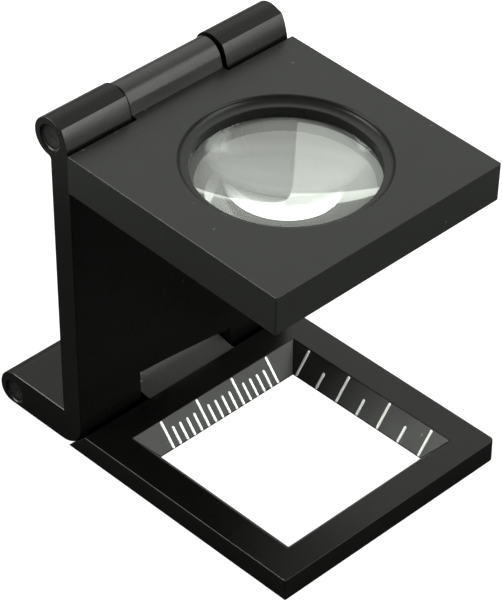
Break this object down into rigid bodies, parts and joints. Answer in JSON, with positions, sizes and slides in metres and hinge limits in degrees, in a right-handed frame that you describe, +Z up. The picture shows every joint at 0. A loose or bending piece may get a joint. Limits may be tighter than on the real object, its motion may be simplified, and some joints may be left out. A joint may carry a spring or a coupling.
{
  "type": "folding linen tester loupe",
  "caption": "Folding pocket magnifier: a square lens plate hinged on an upright bracket over a base frame with a bevelled window and marked scales.",
  "frame": {"origin": "centre of the object's footprint on the table, at the height of the table", "axes": "+X along both hinges, towards the side with the coarse scale; +Y from the open front of the base frame towards the foot; +Z up"},
  "size_m": [0.03, 0.0428, 0.0403],
  "materials": {
    "black_paint": "satin black enamel over die-cast metal",
    "lens_glass": "polished",
    "ring_black": "matt black",
    "pin_steel": "blackened, rough end faces",
    "mark_white": "matt white enamel"
  },
  "bodies": {
    "base": {"base_frame": "black_paint", "mm_scale": "mark_white", "coarse_scale": "mark_white"},
    "bracket": {"bracket": "black_paint", "lens_pin": "pin_steel", "foot_pin": "pin_steel"},
    "lens_plate": {"lens_plate": "black_paint", "lens": "lens_glass", "lens_ring": "ring_black"}
  },
  "joints": [
    {"name": "foot_hinge", "type": "hinge", "parent": "base", "child": "bracket", "pos_m": [0, 0.01932, 0.0016], "axis": [-1, 0, 0], "range_deg": [0, 270]},
    {"name": "lens_hinge", "type": "hinge", "parent": "bracket", "child": "lens_plate", "pos_m": [0, 0.01134, 0.03815], "axis": [-1, 0, 0], "range_deg": [0, 272]}
  ]
}
